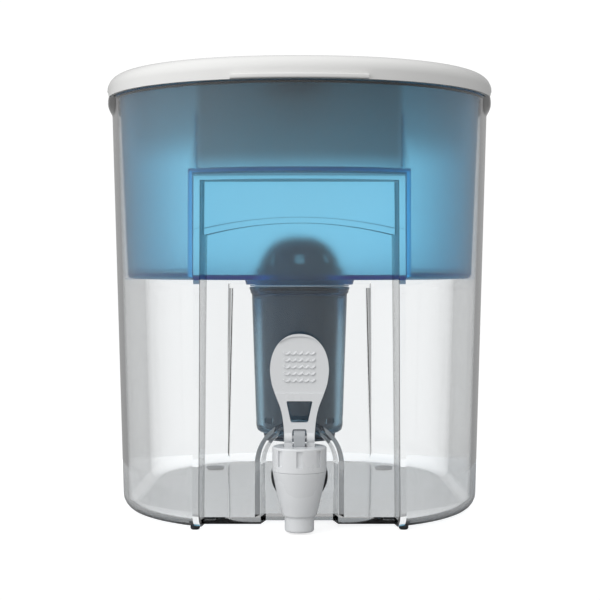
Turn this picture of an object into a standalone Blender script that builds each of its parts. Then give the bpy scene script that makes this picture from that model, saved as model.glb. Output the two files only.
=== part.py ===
"""Countertop water dispenser: a clear reservoir with a blue filter hopper, a lid and a spigot.

Metres, +Z up. The front faces -Y, and the origin is the middle of the footprint on the table.
"Set-back" means the distance behind the front-most point of the reservoir's rim.
"""

from math import cos, pi, radians, sin, tan

import bmesh
import bpy
from mathutils import Matrix, Vector

MM = 0.001
GAP = 0.3 * MM

# Reservoir: an oval vessel with draft, standing on rubber feet
HALF_WIDTH = 109.3 * MM
HALF_DEPTH = 147.5 * MM
OVAL_END = 105 * MM
OVAL_POWER = 2.15
CENTRE_Y = 1.2 * MM
FRONT = CENTRE_Y - HALF_DEPTH
BASE_Z = 1.8 * MM
SEAM_Z = 237.5 * MM
RIM_Z = 242.5 * MM
LEDGE_Z = 236.4 * MM
WALL = 3.2 * MM
RIM_WALL = 1.5 * MM
FLOOR = 3.4 * MM
DRAFT = tan(radians(1.56))
EDGE_RADIUS = 5 * MM
GRIP_LENGTH = 74 * MM
GRIP_BLEND = 28 * MM
GRIP_BULGE = 2.9 * MM
GRIP_START_Z = 229 * MM
GRIP_SWELL_Z = 233 * MM

# Front recess, its deeper arched lower part, the spigot alcove and the rear channel
RECESS_TOP = 187 * MM
RECESS_HALF = 49.6 * MM
RECESS_SLOPE = tan(radians(6.5))
RECESS_FLARE = 0.0112
PANEL_SETBACK = 26.5 * MM
ARCH_SETBACK = 36 * MM
ARCH_TOP = 165.1 * MM
ARCH_RISE = 6.5 * MM
ALCOVE_SETBACK = 47.6 * MM
ALCOVE_Z = 34 * MM
ALCOVE_MOUTH = 23.6 * MM
ALCOVE_BACK = 19.8 * MM
CHANNEL_TOP = 128 * MM
CHANNEL_HALF = 48 * MM
CHANNEL_FLARE = 0.024
CHANNEL_DEPTH = 19 * MM

# Hopper
HOPPER_WALL = 2.2 * MM
HOPPER_CLEARANCE = 1.2 * MM
HOPPER_TOP = 248.2 * MM
HOPPER_EDGE_Z = 135.5 * MM
HOPPER_DISH_Z = 131.7 * MM
HOPPER_FLOOR = 2.9 * MM
HOPPER_TOP_INSET = 4.6 * MM
HOPPER_LOW_INSET = 8.9 * MM
DISH_INSET = 48.8 * MM
FLANGE_LOW = 238.3 * MM
FLANGE_HIGH = 240.8 * MM
RIB_X = 54 * MM
RIB_TOP = 222 * MM
RIB_THICK = 1.6 * MM
FLANGE_INSET = RIM_WALL + 0.4 * MM
SEAL_WIDTH = 2.1 * MM

# Lid
LID_OUTSET = 2.6 * MM
LID_WALL = 2.2 * MM
LID_SKIRT_Z = 238.4 * MM
LID_NOTCH_Z = 243.1 * MM
LID_SHOULDER = 242 * MM
LID_ROUND = 9 * MM
LIP_OUTSET = 5.0 * MM
LIP_HALF = 36 * MM
LIP_HEIGHT = 2.5 * MM
CROWN = 0.4 * MM
CROWN_INSETS = (30 * MM, 70 * MM)
NOTCH_ENDS = (93 * MM, 73 * MM)

# Filter, all round one vertical axis
FILTER_Y = FRONT + 79.5 * MM
FILTER_HOLE = 25.8 * MM

# Filter-life indicator under the lid
INDICATOR_Y = FRONT + 80 * MM
INDICATOR_HALF = (16 * MM, 14 * MM)
INDICATOR_TOP = 248.0 * MM
INDICATOR_LOW = 230.4 * MM
LENS_OFFSET = 9 * MM
LID_TOP = LID_SHOULDER + LID_ROUND

# Spigot: the barrel's axis is vertical and its inlet shank runs back along +Y
SPIGOT_Y = FRONT + 18 * MM
SHANK_Z = 27 * MM
SHANK_RADIUS = 7.6 * MM
SHANK_END = FRONT + 62 * MM
WALL_FRONT = FRONT + ALCOVE_SETBACK
BONNET_TOP = 46.4 * MM
PIVOT_Z = 51 * MM
HEAD_HALF = 3.05 * MM
HEAD_RADIUS = 4 * MM
HEAD_LOW_Z = 41.5 * MM
LEVER_TOP = 105.9 * MM
LEVER_HALF = 15.6 * MM
LEVER_THICK = 3.6 * MM
LEG_IN = 3.75 * MM
LEG_OUT = 8.1 * MM
LEG_FOOT_Z = 45.1 * MM
LEG_CHAMFER = 0.6 * MM
CROSSBAR_Z = 55.5 * MM
EYE_RADIUS = 1.55 * MM
PIN_RADIUS = 1.25 * MM

ROUND_STEPS = 28
QUARTER_STEPS = 9


# ---------------------------------------------------------------- scene helpers
def clear_scene():
    for old in list(bpy.data.objects):
        bpy.data.objects.remove(old, do_unlink=True)


def collection(name):
    found = bpy.data.collections.get(name) or bpy.data.collections.new(name)
    if found.name not in bpy.context.scene.collection.children:
        bpy.context.scene.collection.children.link(found)
    return found


def plastic(name, colour, roughness, metallic=0.0, clear=0.0):
    """A Principled material; clear is how much light passes through."""
    made = bpy.data.materials.new(name)
    made.use_nodes = True
    shader = made.node_tree.nodes["Principled BSDF"]
    shader.inputs["Base Color"].default_value = (*colour, 1)
    shader.inputs["Roughness"].default_value = roughness
    shader.inputs["Metallic"].default_value = metallic
    shader.inputs["Transmission Weight"].default_value = clear
    made.diffuse_color = (*colour, 1)
    return made


def add_object(name, mesh, parts, look=None):
    """Links a new object; one without a look is a cutter."""
    obj = bpy.data.objects.new(name, mesh)
    parts.objects.link(obj)
    if look:
        mesh.materials.append(look)
    else:
        obj.hide_render = True
        obj.display_type = "WIRE"
    return obj


def mesh_from(bm, name):
    bmesh.ops.recalc_face_normals(bm, faces=bm.faces)
    mesh = bpy.data.meshes.new(name)
    bm.to_mesh(mesh)
    bm.free()
    return mesh


def loft(name, rings):
    """A closed mesh through rings of points, with the first and last ring capped."""
    bm = bmesh.new()
    loops = [[bm.verts.new(point) for point in ring] for ring in rings]
    count = len(loops[0])
    for low, high in zip(loops, loops[1:]):
        for i in range(count):
            j = (i + 1) % count
            bm.faces.new((low[i], low[j], high[j], high[i]))
    bm.faces.new(list(reversed(loops[0])))
    bm.faces.new(loops[-1])
    return mesh_from(bm, name)


def box(name, low, high):
    bm = bmesh.new()
    bmesh.ops.create_cube(bm, size=1)
    size = Vector(high) - Vector(low)
    middle = (Vector(high) + Vector(low)) / 2
    bmesh.ops.scale(bm, vec=size, verts=bm.verts)
    bmesh.ops.translate(bm, vec=middle, verts=bm.verts)
    return mesh_from(bm, name)


def cylinder(name, radius, start, end, steps=ROUND_STEPS, cone=None):
    """A cylinder or cone between two points."""
    start, end = Vector(start), Vector(end)
    bm = bmesh.new()
    bmesh.ops.create_cone(
        bm, cap_ends=True, segments=steps, radius1=radius,
        radius2=radius if cone is None else cone, depth=(end - start).length,
    )
    turn = (end - start).to_track_quat("Z", "Y").to_matrix().to_4x4()
    bmesh.ops.transform(bm, matrix=Matrix.Translation((start + end) / 2) @ turn, verts=bm.verts)
    return mesh_from(bm, name)


def turned(name, profile, place, parts, look, closed=True, steps=ROUND_STEPS):
    """A turned piece: (radius, height) points run down the outside, then up the bore."""
    mesh = bpy.data.meshes.new(name)
    ends = [(i, i + 1) for i in range(len(profile) - 1)]
    if closed:
        ends.append((len(profile) - 1, 0))
    mesh.from_pydata([(r, 0, z) for r, z in profile], ends, [])
    obj = add_object(name, mesh, parts, look)
    obj.location = place
    screw = obj.modifiers.new("Turn", "SCREW")
    screw.axis = "Z"
    screw.steps = screw.render_steps = steps
    screw.use_merge_vertices = True
    screw.merge_threshold = 0.01 * MM
    screw.use_smooth_shade = True
    return obj


def boolean(obj, tool, operation="DIFFERENCE"):
    step = obj.modifiers.new(tool.name, "BOOLEAN")
    step.operation = operation
    step.solver = "EXACT"
    step.object = tool
    return step


def cut(obj, name, mesh, cutters):
    boolean(obj, add_object(name, mesh, cutters))


def join(obj, name, mesh, cutters):
    boolean(obj, add_object(name, mesh, cutters), "UNION")


# ---------------------------------------------------------------- shared shapes
def oval(inset, z, bulge=0.0):
    """The plan of the rim, inset evenly; bulge pushes out only the straight sides."""
    half_x = HALF_WIDTH - inset
    half_end = OVAL_END - inset
    points = []
    for quarter in range(4):
        # Each end's middle point belongs to the quarter that starts there.
        first = quarter % 2
        for step in range(first, QUARTER_STEPS + 1):
            turn = pi / 2 * (quarter + step / QUARTER_STEPS)
            c, s = cos(turn), sin(turn)
            x = half_x * abs(c) ** (2 / OVAL_POWER) * (1 if c > 0 else -1)
            y = half_end * abs(s) ** (2 / OVAL_POWER) * (1 if s > 0 else -1)
            y += (HALF_DEPTH - OVAL_END) * (1 if quarter < 2 else -1)
            reach = max(0.0, min(1.0, (GRIP_LENGTH - abs(y)) / GRIP_BLEND))
            swell = bulge * reach * reach * (3 - 2 * reach)
            x += swell * (1 if x > 0 else -1)
            points.append((x, CENTRE_Y + y, z))
    return points


def drafted(z):
    """How far the reservoir's side has come in at a height below the seam."""
    return max(0.0, (SEAM_Z - z) * DRAFT)


def recess_half(set_back, z, grow):
    """Half the front recess's width: it narrows going in and widens going down."""
    return (RECESS_HALF + (ARCH_SETBACK - set_back) * RECESS_SLOPE
            + (RECESS_TOP - z) * RECESS_FLARE + grow)


def recess_block(name, set_back, outline, grow):
    """Runs an (x share, z) outline from in front of the vessel back to a set-back."""
    rings = []
    for depth in (-20 * MM, set_back + grow):
        ring = [(share * recess_half(depth - grow, z, grow), FRONT + depth, z)
                for share, z in outline]
        rings.append(ring)
    return loft(name, rings)


def upper_recess(name, grow=0.0):
    top = RECESS_TOP + grow
    outline = [(-1, -5 * MM), (1, -5 * MM), (1, top), (-1, top)]
    return recess_block(name, PANEL_SETBACK, outline, grow)


def lower_recess(name, grow=0.0):
    outline = [(-1, -5 * MM), (1, -5 * MM)]
    steps = 10
    for i in range(steps + 1):
        share = 1 - 2 * i / steps
        outline.append((share, ARCH_TOP + grow - ARCH_RISE * share * share))
    return recess_block(name, ARCH_SETBACK, outline, grow)


def hopper_step(name, grow):
    """The square-topped step that clears both parts of the front recess."""
    top = RECESS_TOP + grow
    outline = [(-1, -5 * MM), (1, -5 * MM), (1, top), (-1, top)]
    return recess_block(name, ARCH_SETBACK, outline, grow)


def alcove(name, grow=0.0):
    """The arch-topped pocket that the spigot stands in, narrower at its back."""
    rings = []
    steps = 14
    slope = (ALCOVE_MOUTH - ALCOVE_BACK) / (ALCOVE_SETBACK - ARCH_SETBACK)
    for depth in (ARCH_SETBACK - 6 * MM, ALCOVE_SETBACK + grow):
        radius = ALCOVE_BACK + grow + (ALCOVE_SETBACK + grow - depth) * slope
        arch = [(radius * cos(pi * i / steps), ALCOVE_Z + radius * sin(pi * i / steps))
                for i in range(steps + 1)]
        outline = [(-radius, -5 * MM), (radius, -5 * MM), *arch]
        rings.append([(x, FRONT + depth, z) for x, z in outline])
    return loft(name, rings)


def rear_channel(name, grow=0.0):
    """The flat-backed channel up the rear wall."""
    rings = []
    for y in (CENTRE_Y + HALF_DEPTH - CHANNEL_DEPTH - grow, CENTRE_Y + HALF_DEPTH + 20 * MM):
        low, high = -5 * MM, CHANNEL_TOP + grow
        wide = CHANNEL_HALF + CHANNEL_TOP * CHANNEL_FLARE + grow
        narrow = CHANNEL_HALF + grow
        rings.append([(-wide, y, low), (wide, y, low), (narrow, y, high), (-narrow, y, high)])
    return loft(name, rings)


# ---------------------------------------------------------------- reservoir
def reservoir(parts, cutters, look):
    rings = []
    for i in range(5):
        turn = pi / 2 * i / 4
        z = BASE_Z + EDGE_RADIUS * (1 - cos(turn))
        rings.append(oval(drafted(z) + EDGE_RADIUS * (1 - sin(turn)), z))
    rings.append(oval(drafted(GRIP_START_Z), GRIP_START_Z))
    rings.append(oval(drafted(GRIP_SWELL_Z), GRIP_SWELL_Z, GRIP_BULGE * 0.7))
    rings.append(oval(0, SEAM_Z, GRIP_BULGE))
    rings.append(oval(0, RIM_Z, GRIP_BULGE * 0.75))
    body = add_object("reservoir", loft("reservoir", rings), parts, look)

    inner_radius = EDGE_RADIUS - WALL
    floor_top = BASE_Z + FLOOR
    rings = []
    for i in range(4):
        turn = pi / 2 * i / 3
        z = floor_top + inner_radius * (1 - cos(turn))
        rings.append(oval(drafted(z) + WALL + inner_radius * (1 - sin(turn)), z))
    rings.append(oval(drafted(LEDGE_Z) + WALL, LEDGE_Z))
    rings.append(oval(RIM_WALL, LEDGE_Z))
    rings.append(oval(RIM_WALL, RIM_Z + 5 * MM))
    cavity = add_object("reservoir_cavity", loft("reservoir_cavity", rings), cutters)
    cut(cavity, "upper_recess_wall", upper_recess("upper_recess_wall", WALL), cutters)
    cut(cavity, "lower_recess_wall", lower_recess("lower_recess_wall", WALL), cutters)
    cut(cavity, "alcove_wall", alcove("alcove_wall", WALL), cutters)
    cut(cavity, "channel_wall", rear_channel("channel_wall", WALL), cutters)

    cut(body, "upper_recess", upper_recess("upper_recess"), cutters)
    cut(body, "lower_recess", lower_recess("lower_recess"), cutters)
    cut(body, "alcove", alcove("alcove"), cutters)
    cut(body, "rear_channel", rear_channel("rear_channel"), cutters)
    boolean(body, cavity)
    hole = cylinder("spigot_hole", SHANK_RADIUS + 0.5 * MM, (0, WALL_FRONT - 3 * MM, SHANK_Z),
                    (0, WALL_FRONT + 8 * MM, SHANK_Z))
    cut(body, "spigot_hole", hole, cutters)
    for name, x, y, radius in foot_places():
        pocket = cylinder(name + "_pocket", radius + 0.3 * MM, (x, y, -MM), (x, y, BASE_Z + 1.2 * MM), 14)
        cut(body, name + "_pocket", pocket, cutters)


def foot_places():
    """Small buttons under the two front pillars, larger ones at the rear corners."""
    for side, x_sign in (("left", -1), ("right", 1)):
        yield "foot_front_" + side, x_sign * 56.2 * MM, FRONT + 30 * MM, 2.6 * MM
        yield "foot_rear_" + side, x_sign * 58 * MM, CENTRE_Y + 98 * MM, 6 * MM


def feet(parts, look):
    for name, x, y, radius in foot_places():
        profile = [(0, BASE_Z + 0.9 * MM), (radius, BASE_Z + 0.9 * MM), (radius, 0.6 * MM),
                   (radius - 0.6 * MM, 0), (0, 0)]
        turned(name, profile, (x, y, 0), parts, look, closed=False, steps=14)


# ---------------------------------------------------------------- hopper and its seal
def hopper(parts, cutters, look):
    rings = [
        oval(DISH_INSET, HOPPER_DISH_Z),
        oval(HOPPER_LOW_INSET + 1.2 * MM, HOPPER_EDGE_Z),
        oval(HOPPER_LOW_INSET, HOPPER_EDGE_Z + 1.2 * MM),
        oval(HOPPER_TOP_INSET, FLANGE_LOW),
        oval(FLANGE_INSET, FLANGE_LOW),
        oval(FLANGE_INSET, FLANGE_HIGH),
        oval(HOPPER_TOP_INSET, FLANGE_HIGH),
        oval(HOPPER_TOP_INSET, HOPPER_TOP),
    ]
    body = add_object("hopper", loft("hopper", rings), parts, look)

    rings = [
        oval(DISH_INSET, HOPPER_DISH_Z + HOPPER_FLOOR),
        oval(HOPPER_LOW_INSET + HOPPER_WALL, HOPPER_EDGE_Z + HOPPER_FLOOR),
        oval(HOPPER_TOP_INSET + HOPPER_WALL, FLANGE_LOW),
        oval(HOPPER_TOP_INSET + HOPPER_WALL, HOPPER_TOP + 5 * MM),
    ]
    cavity = add_object("hopper_cavity", loft("hopper_cavity", rings), cutters)
    clear = WALL + HOPPER_CLEARANCE
    cut(cavity, "hopper_step_wall", hopper_step("hopper_step_wall", clear + HOPPER_WALL), cutters)
    for side in (-1, 1):
        name = "hopper_rib_" + ("left" if side < 0 else "right")
        x = side * RIB_X
        low = (x - RIB_THICK / 2, FRONT, RECESS_TOP)
        high = (x + RIB_THICK / 2, FRONT + 26 * MM, RIB_TOP)
        cut(cavity, name, box(name, low, high), cutters)

    cut(body, "hopper_step", hopper_step("hopper_step", clear), cutters)
    boolean(body, cavity).use_self = True
    hole = cylinder("filter_hole", FILTER_HOLE, (0, FILTER_Y, HOPPER_DISH_Z - 5 * MM),
                    (0, FILTER_Y, HOPPER_EDGE_Z + 8 * MM))
    cut(body, "filter_hole", hole, cutters)


def rim_seal(parts, cutters, look):
    low, high = LEDGE_Z + GAP, FLANGE_LOW - GAP
    outer = loft("rim_seal", [oval(RIM_WALL + GAP, z) for z in (low, high)])
    inner = loft("rim_seal_bore", [oval(RIM_WALL + GAP + SEAL_WIDTH, z) for z in (low - MM, high + MM)])
    cut(add_object("rim_seal", outer, parts, look), "rim_seal_bore", inner, cutters)


# ---------------------------------------------------------------- lid
def lid(parts, cutters, look):
    def shell(low, outset, radius, top):
        rings = [oval(-outset, low)]
        steps = 5
        for i in range(steps + 1):
            turn = pi / 2 * i / steps
            rings.append(oval(-outset + radius * (1 - cos(turn)), top - radius * (1 - sin(turn))))
        rings.append(oval(CROWN_INSETS[0], top + CROWN / 2))
        rings.append(oval(CROWN_INSETS[1], top + CROWN))
        return rings

    body = add_object(
        "lid", loft("lid", shell(LID_SKIRT_Z, LID_OUTSET, LID_ROUND, LID_TOP)), parts, look)

    lip_low, lip_high = LID_SKIRT_Z, LID_SKIRT_Z + LIP_HEIGHT
    ring = loft("finger_lip", [
        oval(-LIP_OUTSET + 0.8 * MM, lip_low), oval(-LIP_OUTSET, lip_low + 0.8 * MM),
        oval(-LIP_OUTSET, lip_high - 0.8 * MM), oval(-LIP_OUTSET + 0.8 * MM, lip_high)])
    lip = add_object("finger_lip", ring, cutters)
    keep = box("finger_lip_span", (-LIP_HALF, FRONT - 10 * MM, lip_low - MM),
               (LIP_HALF, FRONT + 18 * MM, lip_high + MM))
    boolean(lip, add_object("finger_lip_span", keep, cutters), "INTERSECT")
    boolean(body, lip, "UNION")

    inner_radius = LID_ROUND - LID_WALL
    inner = shell(LID_SKIRT_Z - 5 * MM, LID_OUTSET - LID_WALL, inner_radius, LID_TOP - LID_WALL)
    cut(body, "lid_cavity", loft("lid_cavity", inner), cutters)

    for side in (-1, 1):
        name = "grip_notch_" + ("left" if side < 0 else "right")
        wide, narrow = NOTCH_ENDS
        outline = [(-wide, LID_SKIRT_Z - 2 * MM), (wide, LID_SKIRT_Z - 2 * MM), (wide, LID_SKIRT_Z),
                   (narrow, LID_NOTCH_Z), (-narrow, LID_NOTCH_Z), (-wide, LID_SKIRT_Z)]
        rings = [[(side * x, CENTRE_Y + y, z) for y, z in outline] for x in (85 * MM, 125 * MM)]
        cut(body, name, loft(name, rings), cutters)

    button = cylinder("button_hole", 6.4 * MM, (0, INDICATOR_Y, LID_TOP - 10 * MM),
                      (0, INDICATOR_Y, LID_TOP + 5 * MM), 24)
    cut(body, "button_hole", button, cutters)
    lens = cylinder("lens_hole", 2.5 * MM, (0, INDICATOR_Y - LENS_OFFSET, LID_TOP - 10 * MM),
                    (0, INDICATOR_Y - LENS_OFFSET, LID_TOP + 5 * MM), 16)
    cut(body, "lens_hole", lens, cutters)


# ---------------------------------------------------------------- filter-life indicator
def indicator(parts, cutters, looks):
    half_x, half_y = INDICATOR_HALF
    wall = 1.6 * MM
    cover_top = INDICATOR_LOW + 1.6 * MM

    def block(name, inset, low, high):
        return box(name, (-half_x + inset, INDICATOR_Y - half_y + inset, low),
                   (half_x - inset, INDICATOR_Y + half_y - inset, high))

    housing = add_object("indicator_housing",
                         block("indicator_housing", 0, cover_top + GAP, INDICATOR_TOP),
                         parts, looks["housing"])
    cut(housing, "indicator_room", block("indicator_room", wall, INDICATOR_LOW, INDICATOR_TOP - wall),
        cutters)
    for name, y, radius in (("button_guide", 0, 2.6 * MM), ("lens_guide", -LENS_OFFSET, 2.5 * MM)):
        guide = cylinder(name, radius, (0, INDICATOR_Y + y, INDICATOR_TOP - 4 * MM),
                         (0, INDICATOR_Y + y, INDICATOR_TOP + MM), 16)
        cut(housing, name, guide, cutters)

    cover = add_object("battery_cover", block("battery_cover", 0, INDICATOR_LOW, cover_top),
                       parts, looks["housing"])
    edge = cover.modifiers.new("Edge", "BEVEL")
    edge.width = 0.5 * MM
    edge.segments = 1

    board_low = 240 * MM
    board = block("indicator_board", wall + GAP, board_low, board_low + 1.2 * MM)
    add_object("indicator_board", board, parts, looks["board"])
    cell = cylinder("coin_cell", 10 * MM, (0, INDICATOR_Y, board_low - 3.6 * MM),
                    (0, INDICATOR_Y, board_low - 0.4 * MM))
    add_object("coin_cell", cell, parts, looks["metal"])

    top = LID_TOP + MM
    tip = board_low + 2.2 * MM
    profile = [(0, top), (5 * MM, top), (6 * MM, top - 0.6 * MM), (6 * MM, top - 2.4 * MM),
               (2.2 * MM, top - 2.4 * MM), (2.2 * MM, tip), (0, tip)]
    turned("indicator_button", profile, (0, INDICATOR_Y, 0), parts, looks["button"], False, 24)
    lens_top = LID_TOP + 0.6 * MM
    lens = cylinder("indicator_lens", 2.2 * MM, (0, INDICATOR_Y - LENS_OFFSET, board_low + 2 * MM),
                    (0, INDICATOR_Y - LENS_OFFSET, lens_top), 16)
    add_object("indicator_lens", lens, parts, looks["lens"])


# ---------------------------------------------------------------- filter and its sleeve
def turned_mm(name, profile, place, parts, look, closed=True, steps=ROUND_STEPS):
    """A turned piece whose profile is given in millimetres."""
    scaled = [(r * MM, z * MM) for r, z in profile]
    return turned(name, scaled, place, parts, look, closed, steps)


def cut_around(obj, name, count, size, radius, centre, first_turn, cutters):
    """Cuts equal boxes evenly spaced round a vertical axis."""
    for i in range(count):
        turn = first_turn + 2 * pi * i / count
        bm = bmesh.new()
        bmesh.ops.create_cube(bm, size=1)
        bmesh.ops.scale(bm, vec=size, verts=bm.verts)
        out = Vector((cos(turn), sin(turn), 0)) * radius
        place = Matrix.Translation(Vector(centre) + out) @ Matrix.Rotation(turn, 4, "Z")
        bmesh.ops.transform(bm, matrix=place, verts=bm.verts)
        cut(obj, f"{name}_{i + 1}", mesh_from(bm, name), cutters)


def sleeve(parts, cutters, look, seal_look):
    """The blue tube that hangs through the hopper's floor and holds the filter."""
    place = (0, FILTER_Y, 0)
    profile = [(25.4, 137.4), (25.4, 130.4), (28.5, 130.4), (28.5, 129), (28.0, 128.6), (28.0, 127),
               (27.2, 126.8), (24.7, 51.5), (24.0, 49), (22.4, 47.8), (21.2, 47.8), (21.2, 49.4),
               (22.6, 50.4), (23.1, 52), (24.2, 137.4)]
    body = turned_mm("filter_sleeve", profile, place, parts, look)
    cut_around(body, "sleeve_slot", 8, (12 * MM, 6.2 * MM, 2.9 * MM), 24 * MM,
               (0, FILTER_Y, 55.4 * MM), -pi / 2, cutters)
    ring = [(28.3, 131.4), (28.3, 130.7), (26.0, 130.7), (26.0, 131.4)]
    turned_mm("sleeve_seal", ring, place, parts, seal_look, steps=20)


def filter_cartridge(parts, cutters, looks):
    place = (0, FILTER_Y, 0)
    housing = [(23.6, 136.8), (23.4, 131.1), (22.9, 131.1), (22.9, 128.9), (23.3, 128.9), (21.6, 57),
               (20.4, 51.5), (20.4, 45.6), (18.6, 45.6), (18.6, 52.5), (20.0, 58), (21.7, 124),
               (22.0, 136.8)]
    turned_mm("filter_housing", housing, place, parts, looks["filter"])
    o_ring = [(23.8, 130.8), (23.8, 129.2), (23.2, 129.2), (23.2, 130.8)]
    turned_mm("filter_o_ring", o_ring, place, parts, looks["rubber"], steps=20)
    media = [(0, 133), (21.4, 133), (21.3, 124), (19.6, 58), (18.2, 53), (0, 53)]
    turned_mm("filter_media", media, place, parts, looks["media"], closed=False, steps=16)

    grille = [(0, 52), (18.2, 52), (18.2, 45.3), (20.2, 45.3), (20.2, 43.8), (0, 43.8)]
    grid = turned_mm("filter_grille", grille, place, parts, looks["filter"], closed=False)
    holes = 8
    for i in range(holes):
        turn = 2 * pi * (i + 0.5) / holes
        x, y = 12 * MM * cos(turn), FILTER_Y + 12 * MM * sin(turn)
        hole = cylinder("outlet_hole", 2.6 * MM, (x, y, 40 * MM), (x, y, 56 * MM), 12)
        cut(grid, f"outlet_hole_{i + 1}", hole, cutters)

    cap = [(3, 159), (9, 158.2), (16, 154.6), (21.2, 148), (23.2, 141.6), (25.2, 141.2),
           (25.2, 137.7), (23.8, 137.7), (23.8, 137.1), (21.4, 137.1), (21.4, 141.4), (19.4, 147),
           (14.8, 152.6), (8, 156), (3, 156.6)]
    dome = turned_mm("filter_cap", cap, place, parts, looks["filter"])
    cut_around(dome, "inlet_vent", 8, (9 * MM, 4.2 * MM, 4.4 * MM), 21.5 * MM,
               (0, FILTER_Y, 146 * MM), 0, cutters)


# ---------------------------------------------------------------- spigot
def spigot_body(parts, cutters, look):
    """Barrel and spout in one moulding, with the threaded inlet shank at its back."""
    place = (0, SPIGOT_Y, 0)
    barrel = [(14.3, 33.4), (14.2, 31), (13.1, 24.9), (11.8, 18.5), (10.1, 12.2), (8.9, 8.5),
              (7.7, 7), (7.2, 6.6), (7.2, 5.8), (7.9, 5.4), (7.9, 2), (7.3, 1.2), (5.9, 1.2),
              (5.6, 2), (5.2, 9), (4.6, 10.4), (4.6, 12), (6.8, 15), (9, 19.5), (10.4, 24.9),
              (11.2, 30), (11.2, 33.4)]
    body = turned_mm("spigot_body", barrel, place, parts, look)
    flange_back = WALL_FRONT - 1.4 * MM - 2 * GAP
    sections = [(SHANK_RADIUS, SHANK_END), (SHANK_RADIUS, flange_back), (13.2 * MM, flange_back),
                (13.2 * MM, flange_back - 2.2 * MM), (6.3 * MM, flange_back - 3.2 * MM),
                (6.3 * MM, SPIGOT_Y + 11.5 * MM)]
    steps = 28
    rings = []
    for radius, y in sections:
        turns = [2 * pi * i / steps for i in range(steps)]
        rings.append([(radius * cos(t), y, SHANK_Z + radius * sin(t)) for t in turns])
    join(body, "inlet_shank", loft("inlet_shank", rings), cutters)
    bore = cylinder("inlet_bore", 4.8 * MM, (0, SPIGOT_Y + 7 * MM, SHANK_Z),
                    (0, SHANK_END + 2 * MM, SHANK_Z), 18)
    cut(body, "inlet_bore", bore, cutters)


def spigot_bonnet(parts, cutters, look):
    """The fluted cap screwed on the barrel, with a pocket for the lever's feet."""
    profile = [(0, BONNET_TOP / MM), (13.9, BONNET_TOP / MM), (14.45, 45.8), (14.45, 33.7),
               (10.8, 33.7), (10.8, 30.5), (9.6, 30.5), (9.6, 43.4), (0, 43.4)]
    bonnet = turned_mm("spigot_bonnet", profile, (0, SPIGOT_Y, 0), parts, look, closed=False)
    cut_around(bonnet, "flute", 8, (3 * MM, 4.2 * MM, 8.5 * MM), 15.35 * MM,
               (0, SPIGOT_Y, 38.6 * MM), -pi / 2, cutters)
    for name, half_x, half_y, low in (("foot_pocket", 8.5, 5, 44.7), ("stem_hole", 3.4, 4.4, 40)):
        room = box(name, (-half_x * MM, SPIGOT_Y - half_y * MM, low * MM),
                   (half_x * MM, SPIGOT_Y + half_y * MM, 50 * MM))
        cut(bonnet, name, room, cutters)


def valve(parts, cutters, looks):
    """The stem that the lever lifts, its silicone plug and the spring that shuts it."""
    place = (0, SPIGOT_Y, 0)
    rod = [(0, 42), (2.6, 42), (2.6, 20.3), (6.8, 20.3), (6.8, 18.3), (2.6, 18.3), (2.6, 14.6), (0, 14.6)]
    stem = turned_mm("valve_stem", rod, place, parts, looks["stem"], closed=False, steps=20)
    rings = []
    for x in (-HEAD_HALF, HEAD_HALF):
        turns = [pi * i / 12 for i in range(13)]
        arch = [(x, SPIGOT_Y + HEAD_RADIUS * cos(t), PIVOT_Z + HEAD_RADIUS * sin(t)) for t in turns]
        low = HEAD_LOW_Z
        rings.append([(x, SPIGOT_Y - HEAD_RADIUS, low), (x, SPIGOT_Y + HEAD_RADIUS, low), *arch])
    join(stem, "stem_head", loft("stem_head", rings), cutters)
    eye = cylinder("stem_eye", EYE_RADIUS, (-6 * MM, SPIGOT_Y, PIVOT_Z), (6 * MM, SPIGOT_Y, PIVOT_Z), 16)
    cut(stem, "stem_eye", eye, cutters)

    plug = [(6.6, 18), (6.6, 15.2), (4.2, 11.9), (0, 11.9), (0, 14.3), (2.9, 14.3), (2.9, 18)]
    turned_mm("valve_plug", plug, place, parts, looks["silicone"], closed=True, steps=24)

    turns, per_turn, radius, wire = 5, 12, 6.1 * MM, 0.5 * MM
    low, high = 21.2 * MM, 42.7 * MM
    curve = bpy.data.curves.new("valve_spring", "CURVE")
    curve.dimensions = "3D"
    curve.bevel_depth = wire
    curve.bevel_resolution = 0
    curve.use_fill_caps = True
    line = curve.splines.new("POLY")
    line.points.add(turns * per_turn)
    for i, point in enumerate(line.points):
        turn = 2 * pi * i / per_turn
        height = low + (high - low) * i / (turns * per_turn)
        point.co = (radius * cos(turn), SPIGOT_Y + radius * sin(turn), height, 1)
    curve.materials.append(looks["metal"])
    parts.objects.link(bpy.data.objects.new("valve_spring", curve))


def lever_outline():
    """The right half of the lever from its top down to its foot, then up inside the leg."""
    middle = 86 * MM
    points = []
    steps = 8
    for i in range(steps + 1):
        turn = pi / 2 * (1 - i / steps)
        x = LEVER_HALF * cos(turn) ** (2 / 2.2)
        points.append((x, middle + (LEVER_TOP - middle) * sin(turn) ** (2 / 2.2)))
    sides = [(14.8, 80), (13.3, 75.2), (11.6, 70.8), (10.1, 66.8), (8.9, 61.4), (8.3, 56)]
    points += [(x * MM, z * MM) for x, z in sides]
    points += [(LEG_OUT, PIVOT_Z), (LEG_OUT, LEG_FOOT_Z + LEG_CHAMFER)]
    points += [(LEG_OUT - LEG_CHAMFER, LEG_FOOT_Z)]
    points += [(LEG_IN, LEG_FOOT_Z), (LEG_IN, CROSSBAR_Z)]
    return points


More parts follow.
